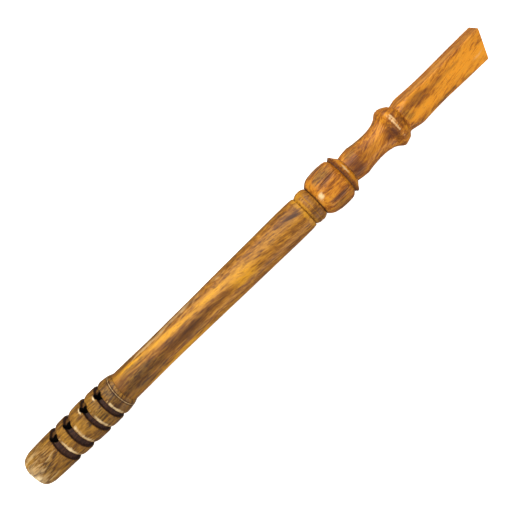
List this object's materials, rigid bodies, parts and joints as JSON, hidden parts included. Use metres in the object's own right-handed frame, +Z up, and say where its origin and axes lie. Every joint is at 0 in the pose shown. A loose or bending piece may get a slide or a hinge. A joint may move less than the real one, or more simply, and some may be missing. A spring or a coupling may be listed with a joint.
{
  "type": "wooden didgeridoo",
  "caption": "Small turned and carved wooden wind pipe, bored through, with grooved vents at the foot, a carved bulb and baluster, and a square slant-cut mouth end.",
  "frame": {"origin": "middle of the space the pipe takes up, on the table that it lies on; the pipe's axis is parallel to X, 23.9 mm above the table", "axes": "+X along the pipe from its foot to its slanted mouth, +Z up, with the front panel of the carved bulb and the front face of the mouth block uppermost"},
  "size_m": [0.639, 0.0478, 0.0478],
  "materials": {
    "shaft_wood": "hand-rubbed gloss varnish over dark, streaked hardwood",
    "head_wood": "hand-rubbed gloss varnish over orange-brown hardwood",
    "waxed_thread": "waxed hemp thread"
  },
  "bodies": {
    "tube": {"main_tube": "shaft_wood", "neck_ring": "shaft_wood"},
    "foot_thread": {"foot_lapping": "waxed_thread"},
    "foot": {"foot_joint": "shaft_wood"},
    "head_thread": {"head_lapping": "waxed_thread"},
    "head": {"bulb": "head_wood", "flange_ring": "head_wood", "head_neck": "head_wood", "head_collar": "head_wood", "mouth_block": "head_wood"}
  },
  "joints": [
    {"name": "foot_turn", "type": "hinge", "parent": "tube", "child": "foot_thread", "pos_m": [-0.2036, 0, 0.0239], "axis": [1, 0, 0], "continuous": true},
    {"name": "foot_pull", "type": "slide", "parent": "foot_thread", "child": "foot", "axis": [-1, 0, 0], "range_m": [0, 0.02]},
    {"name": "head_turn", "type": "hinge", "parent": "tube", "child": "head_thread", "pos_m": [0.0874, 0, 0.0239], "axis": [1, 0, 0], "continuous": true},
    {"name": "head_pull", "type": "slide", "parent": "head_thread", "child": "head", "axis": [1, 0, 0], "range_m": [0, 0.02]}
  ]
}
